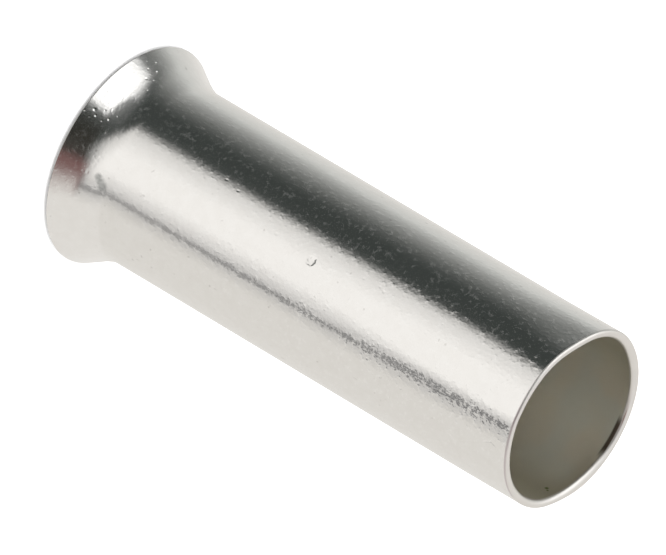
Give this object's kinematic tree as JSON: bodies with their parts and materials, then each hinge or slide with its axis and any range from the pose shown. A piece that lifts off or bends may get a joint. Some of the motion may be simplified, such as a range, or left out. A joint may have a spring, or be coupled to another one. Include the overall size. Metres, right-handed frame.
{
  "type": "wire ferrule",
  "caption": "Bare wire end ferrule: a short tin-plated copper tube with a flared mouth, crimped on stripped strands to hold them together in a screw or spring terminal.",
  "frame": {"origin": "centre of the flared mouth, on the plane that its lip touches when the tube stands on it", "axes": "+Z along the tube's axis, from the flared mouth to the plain cut end; the part is round, so +X and +Y are free"},
  "size_m": [0.006, 0.006, 0.015],
  "materials": {
    "tinned_copper": "bright tin plate on copper, glossy on the drawn outside, duller and darker in the bore"
  },
  "bodies": {
    "root": {"ferrule": "tinned_copper"}
  },
  "joints": []
}
